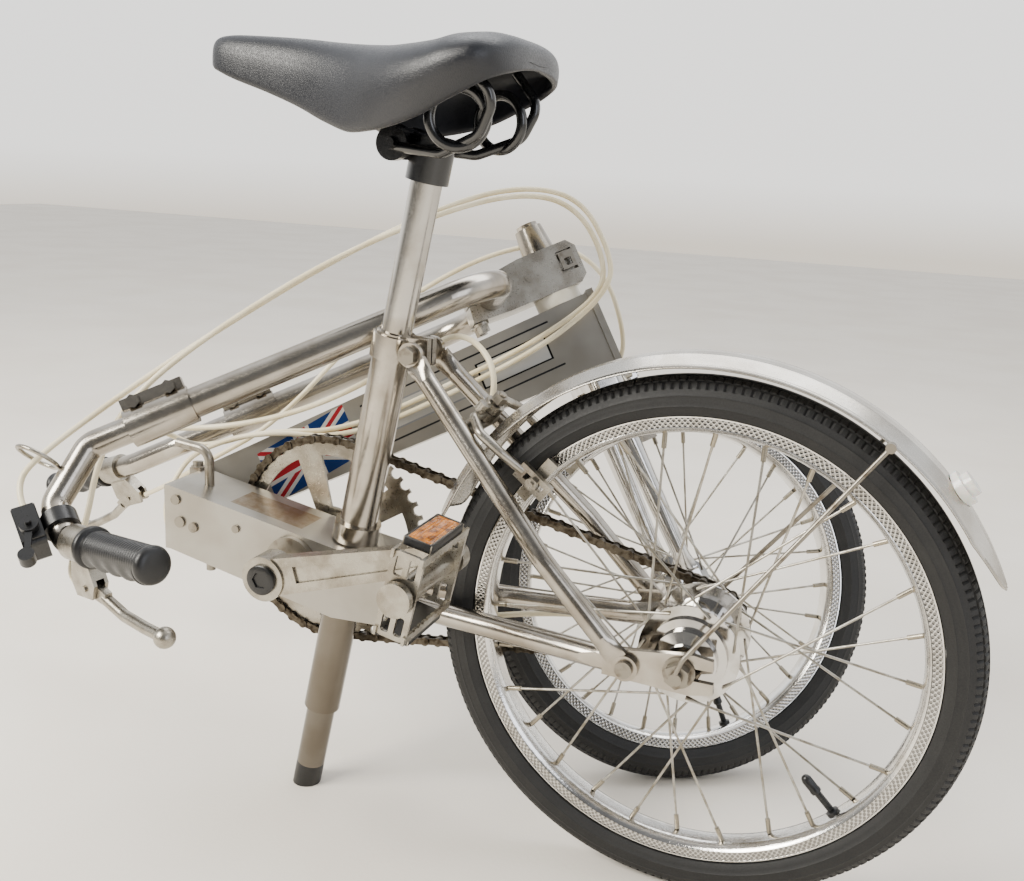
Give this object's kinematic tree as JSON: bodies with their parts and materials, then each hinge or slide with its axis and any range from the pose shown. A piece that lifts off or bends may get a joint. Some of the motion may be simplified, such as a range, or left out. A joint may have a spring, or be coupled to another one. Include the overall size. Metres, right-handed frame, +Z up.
{
  "type": "folding bicycle",
  "caption": "Small-wheeled folding bicycle in its folded state, standing on both tyres and the foot of its seat pillar.",
  "frame": {"origin": "centre of the bounding box in plan, on the floor", "axes": "+X to the rear of the rear half, +Z up, +Y to the drive side"},
  "size_m": [0.966, 0.537, 0.6559],
  "materials": {
    "silver_frame": "satin silver",
    "chrome": "bright",
    "steel": "worn",
    "alloy": "satin",
    "tyre": "matt",
    "rubber": "matt",
    "black_plastic": "moulded",
    "cream_plastic": "aged",
    "saddle_skin": "grained"
  },
  "bodies": {
    "rear_frame": {"rear_beam": "silver_frame", "bottom_bracket": "steel", "pillar_sleeve": "alloy", "seat_stay_left": "alloy", "seat_stay_right": "alloy", "chain_stays": "alloy", "frame_bolts": "steel", "axle_rear": "steel", "mudguard": "alloy", "mudguard_stays": "steel", "rear_lamp": "cream_plastic", "brake_bridge": "steel", "hinge_rear": "steel", "chain": "steel", "cable_rear_brake": "cream_plastic", "cable_gear": "cream_plastic"},
    "rear_wheel": {"tyre_rear": "tyre", "rim_rear": "chrome", "spokes_rear": "steel", "hub_rear": "chrome"},
    "sprocket": {"sprocket": "steel"},
    "crankset": {"spindle": "steel", "chainring": "alloy", "crank_left": "alloy", "crank_right": "alloy"},
    "pedal_left": {"pedal_left": "alloy"},
    "pedal_right": {"pedal_right": "alloy"},
    "seat_pillar": {"pillar": "alloy", "pillar_foot": "rubber", "saddle_clamp": "black_plastic"},
    "saddle": {"saddle_rails": "black_plastic", "saddle": "saddle_skin"},
    "lock_rod": {"lock_rod": "steel"},
    "rear_brake_arm_left": {"rear_brake_arm_left": "alloy"},
    "rear_brake_arm_right": {"rear_brake_arm_right": "alloy"},
    "front_frame": {"front_beam": "silver_frame", "head_bushes": "cream_plastic", "hinge_front": "steel"},
    "fork": {"steerer": "steel", "fork": "chrome", "axle_front": "steel", "stem": "alloy"},
    "front_wheel": {"tyre_front": "tyre", "rim_front": "chrome", "spokes_front": "steel", "hub_front": "chrome"},
    "stem_latch": {"stem_latch": "steel"},
    "front_brake_arm_left": {"front_brake_arm_left": "alloy"},
    "front_brake_arm_right": {"front_brake_arm_right": "alloy"},
    "handlebar": {"handlebar": "alloy", "bar_sleeves": "alloy", "handle_tubes": "alloy", "grips": "rubber", "lever_brackets": "alloy", "shifter": "black_plastic", "cable_front_brake": "cream_plastic"},
    "brake_lever_near": {"brake_lever_near": "alloy"},
    "brake_lever_far": {"brake_lever_far": "alloy"},
    "gear_lever": {"gear_lever": "black_plastic"}
  },
  "joints": [
    {"name": "rear_wheel_spin", "type": "hinge", "parent": "rear_frame", "child": "rear_wheel", "pos_m": [0.27071, -0.0429, 0.2115], "axis": [0, 1, 0], "continuous": true},
    {"name": "crank_turn", "type": "hinge", "parent": "rear_frame", "child": "crankset", "pos_m": [-0.07279, -0.0429, 0.226], "axis": [0, 1, 0], "range_deg": [-54.78, 0], "deforming": ["chain"]},
    {"name": "sprocket_turn", "type": "hinge", "parent": "rear_frame", "child": "sprocket", "pos_m": [0.27071, -0.0429, 0.2115], "axis": [0, 1, 0], "range_deg": [-158.5, 1]},
    {"name": "pedal_left_spin", "type": "hinge", "parent": "crankset", "child": "pedal_left", "pos_m": [0.09079, -0.1429, 0.27229], "axis": [0, 1, 0], "continuous": true},
    {"name": "pedal_right_spin", "type": "hinge", "parent": "crankset", "child": "pedal_right", "pos_m": [-0.23636, 0.0571, 0.17971], "axis": [0, 1, 0], "continuous": true},
    {"name": "pillar_slide", "type": "slide", "parent": "rear_frame", "child": "seat_pillar", "axis": [0.1857, 0, 0.9826], "range_m": [0, 0.2]},
    {"name": "saddle_tilt", "type": "hinge", "parent": "seat_pillar", "child": "saddle", "pos_m": [0.00877, -0.0429, 0.57588], "axis": [0, 1, 0], "range_deg": [-15, 15]},
    {"name": "lock_rod_turn", "type": "hinge", "parent": "rear_frame", "child": "lock_rod", "pos_m": [-0.17728, -0.0429, 0.25], "axis": [0, 0, 1], "range_deg": [-90, 90]},
    {"name": "fold", "type": "hinge", "parent": "rear_frame", "child": "front_frame", "pos_m": [-0.21149, -0.0134, 0.246], "axis": [-0.072, 0.114, 0.9909], "range_deg": [0, 58], "deforming": ["cable_rear_brake", "cable_gear"]},
    {"name": "steer", "type": "hinge", "parent": "front_frame", "child": "fork", "pos_m": [0.21675, 0.16029, 0.18136], "axis": [-0.491, 0.0516, 0.8696], "range_deg": [-12, 0]},
    {"name": "front_wheel_spin", "type": "hinge", "parent": "fork", "child": "front_wheel", "pos_m": [0.21675, 0.16029, 0.18136], "axis": [-0.4348, 0.8505, -0.296], "continuous": true},
    {"name": "stem_latch_turn", "type": "hinge", "parent": "fork", "child": "stem_latch", "pos_m": [0.07671, 0.16847, 0.48358], "axis": [0.7549, 0.5235, 0.3952], "range_deg": [-40, 0]},
    {"name": "bar_swing", "type": "hinge", "parent": "fork", "child": "handlebar", "pos_m": [0.01158, 0.14387, 0.43561], "axis": [-0.4348, 0.8505, -0.296], "range_deg": [0, 33], "deforming": ["cable_front_brake"]},
    {"name": "brake_lever_near_pull", "type": "hinge", "parent": "handlebar", "child": "brake_lever_near", "pos_m": [-0.16245, -0.21346, 0.23677], "axis": [-0.3519, -0.9283, -0.1201], "range_deg": [0, 18], "stiffness_Nm_per_rad": 0.6},
    {"name": "brake_lever_far_pull", "type": "hinge", "parent": "handlebar", "child": "brake_lever_far", "pos_m": [-0.36643, 0.08078, 0.19738], "axis": [0.0447, 0.9587, 0.281], "range_deg": [0, 18], "stiffness_Nm_per_rad": 0.6},
    {"name": "gear_lever_turn", "type": "hinge", "parent": "handlebar", "child": "gear_lever", "pos_m": [-0.20839, -0.22631, 0.28165], "axis": [0.2731, -0.4936, 0.8257], "range_deg": [-50, 15]},
    {"name": "rear_brake_left", "type": "hinge", "parent": "rear_frame", "child": "rear_brake_arm_left", "pos_m": [0.08778, -0.0429, 0.3712], "axis": [0.6196, 0, 0.7849], "range_deg": [-0.3, 2.1]},
    {"name": "rear_brake_right", "type": "hinge", "parent": "rear_frame", "child": "rear_brake_arm_right", "pos_m": [0.09274, -0.0429, 0.37748], "axis": [0.6196, 0, 0.7849], "range_deg": [-2.1, 0.3]},
    {"name": "front_brake_left", "type": "hinge", "parent": "fork", "child": "front_brake_arm_left", "pos_m": [0.13415, 0.18163, 0.36402], "axis": [0.7549, 0.5235, 0.3952], "range_deg": [-0.3, 2.1]},
    {"name": "front_brake_right", "type": "hinge", "parent": "fork", "child": "front_brake_arm_right", "pos_m": [0.14019, 0.18582, 0.36718], "axis": [0.7549, 0.5235, 0.3952], "range_deg": [-2.1, 0.3]}
  ],
  "couplings": [
    {"joint": "sprocket_turn", "follows": "crank_turn", "ratio": 2.875},
    {"joint": "bar_swing", "follows": "fold", "ratio": 0.553},
    {"joint": "rear_brake_left", "follows": "brake_lever_near_pull", "ratio": 0.1},
    {"joint": "rear_brake_right", "follows": "brake_lever_near_pull", "ratio": -0.1},
    {"joint": "front_brake_left", "follows": "brake_lever_far_pull", "ratio": 0.1},
    {"joint": "front_brake_right", "follows": "brake_lever_far_pull", "ratio": -0.1}
  ]
}
